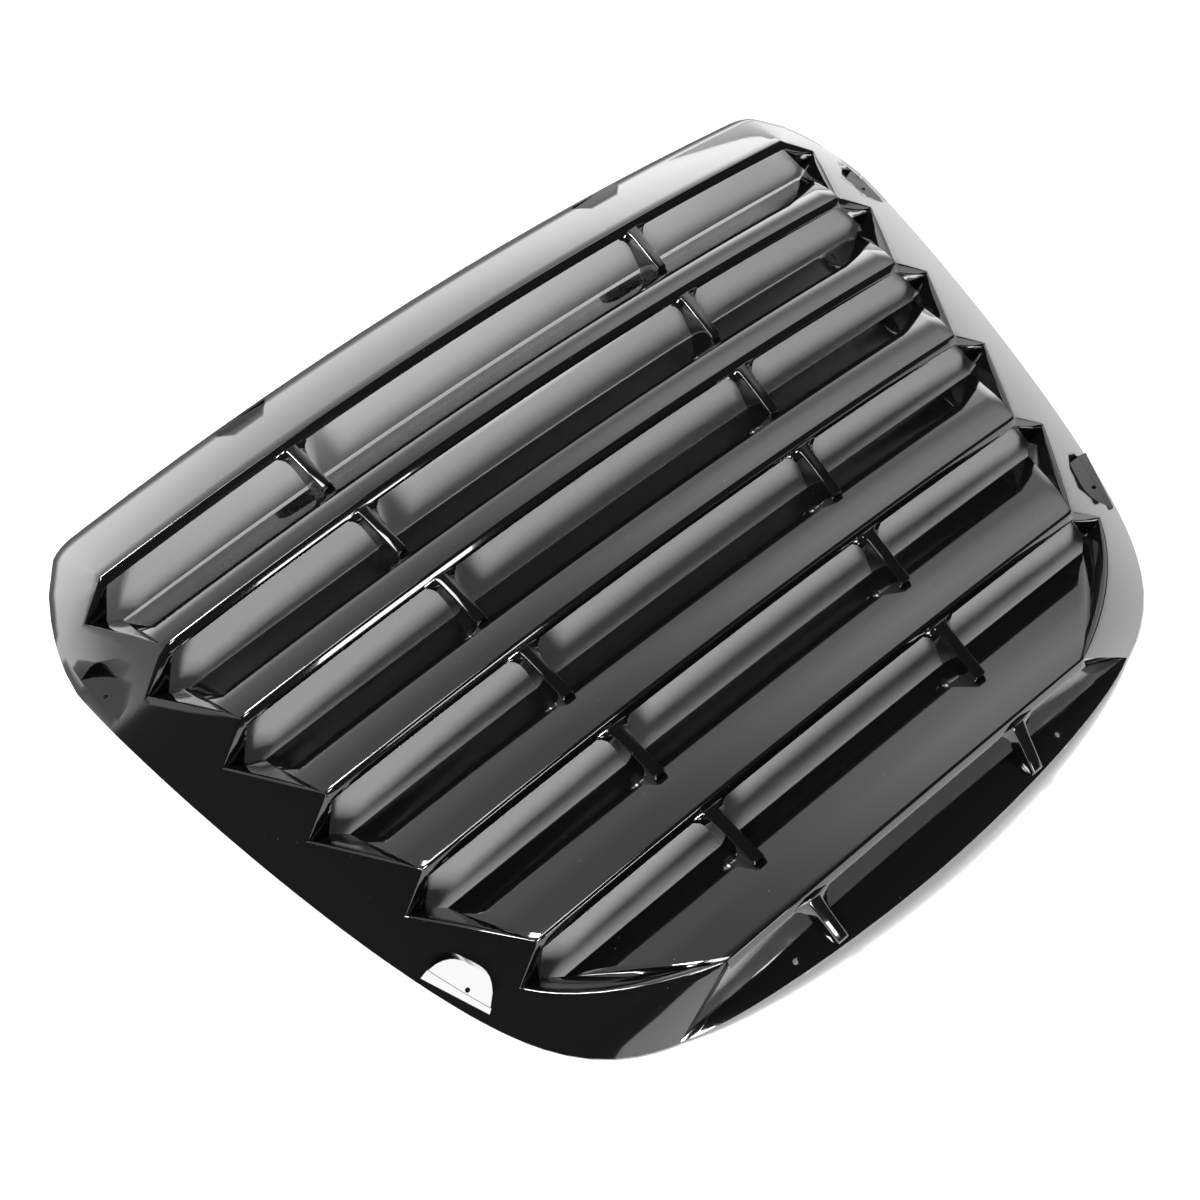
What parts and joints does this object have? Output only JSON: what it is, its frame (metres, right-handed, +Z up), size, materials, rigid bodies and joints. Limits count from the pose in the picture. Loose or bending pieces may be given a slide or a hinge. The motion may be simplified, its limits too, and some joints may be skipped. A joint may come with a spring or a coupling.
{
  "type": "rear window louver",
  "caption": "Gloss black rear window louver: a bowed one-piece shell with full-width slats, saw-tooth side bands, ribs and screw pads for a coupe rear window.",
  "frame": {"origin": "on the floor under the middle of the outline", "axes": "+X across the car, +Y towards the roof end, +Z up and away from the glass"},
  "size_m": [1.194, 0.911, 0.105],
  "materials": {
    "louver": "high gloss black moulding"
  },
  "bodies": {
    "root": {"louver": "louver"}
  },
  "joints": []
}
